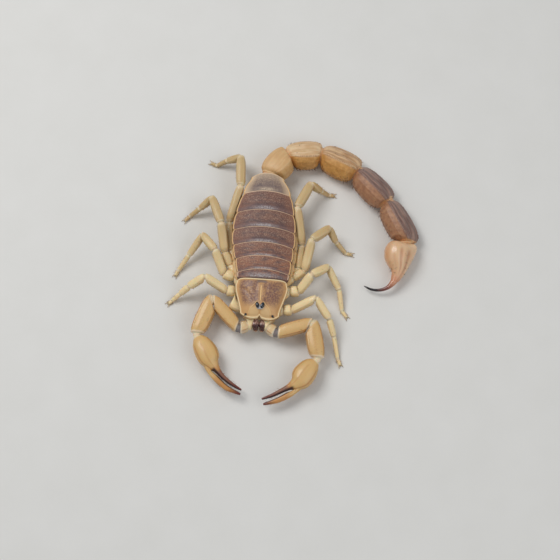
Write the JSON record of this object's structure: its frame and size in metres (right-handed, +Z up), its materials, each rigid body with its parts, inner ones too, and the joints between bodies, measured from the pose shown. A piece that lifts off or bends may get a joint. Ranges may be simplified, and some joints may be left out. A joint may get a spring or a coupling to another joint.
{
  "type": "desert scorpion model",
  "caption": "Life-size still model of a fat-tailed desert scorpion at rest, with its pincers drawn in before the head, legs spread and the tail curled to one side along the ground",
  "frame": {"origin": "The middle of the box round the whole animal, at floor level, where its feet, tail and sting bulb rest.", "axes": "+Z is up. +Y runs from the head to the rear of the trunk, so the head and pincers point towards -Y. +X is the animal's left, the side to which the tail is curled."},
  "size_m": [0.053, 0.0594, 0.0076],
  "materials": {
    "shield": "tan horn shield with brown clouding, a fine grain and a pale raised rim",
    "plates": "dark red-brown horn plates with a fine grain, a dull sheen and thin pale rear edges",
    "flank": "pale straw-gold soft skin and belly plates",
    "legs": "pale straw horn, slightly glossy, paler at the joints",
    "arms": "golden tan horn, smooth and slightly glossy, with fingers darkening to purple-brown",
    "tail": "golden tan keeled horn, orange-brown on the inner faces",
    "tail_end": "dusky brown keeled horn",
    "sting": "glossy red-brown horn darkening to black at the point",
    "jaws": "dark brown horn with pale tips",
    "eyes": "glossy black lens"
  },
  "bodies": {
    "root": {"eye_median_left": "eyes", "eye_side_left": "eyes", "chelicera_left": "jaws", "eye_median_right": "eyes", "eye_side_right": "eyes", "chelicera_right": "jaws", "carapace": "shield", "tergite_1": "plates", "tergite_2": "plates", "tergite_3": "plates", "tergite_4": "plates", "tergite_5": "plates", "tergite_6": "plates", "tergite_7": "plates", "abdomen": "flank", "coxosternum": "legs", "pectine_left": "flank", "pectine_right": "flank", "leg_1_left_thigh": "legs", "leg_1_left_shank": "legs", "leg_1_left_foot": "legs", "leg_1_right_thigh": "legs", "leg_1_right_shank": "legs", "leg_1_right_foot": "legs", "leg_2_left_thigh": "legs", "leg_2_left_shank": "legs", "leg_2_left_foot": "legs", "leg_2_right_thigh": "legs", "leg_2_right_shank": "legs", "leg_2_right_foot": "legs", "leg_3_left_thigh": "legs", "leg_3_left_shank": "legs", "leg_3_left_foot": "legs", "leg_3_right_thigh": "legs", "leg_3_right_shank": "legs", "leg_3_right_foot": "legs", "leg_4_left_thigh": "legs", "leg_4_left_shank": "legs", "leg_4_left_foot": "legs", "leg_4_right_thigh": "legs", "leg_4_right_shank": "legs", "leg_4_right_foot": "legs", "pedipalp_left_trochanter": "arms", "pedipalp_left_femur": "arms", "pedipalp_left_patella": "arms", "pedipalp_left_hand": "arms", "pedipalp_left_finger": "arms", "pedipalp_right_trochanter": "arms", "pedipalp_right_femur": "arms", "pedipalp_right_patella": "arms", "pedipalp_right_hand": "arms", "pedipalp_right_finger": "arms", "tail_1": "tail", "tail_2": "tail", "tail_3": "tail", "tail_4": "tail_end", "tail_5": "tail_end", "telson": "tail", "sting": "sting"}
  },
  "joints": []
}
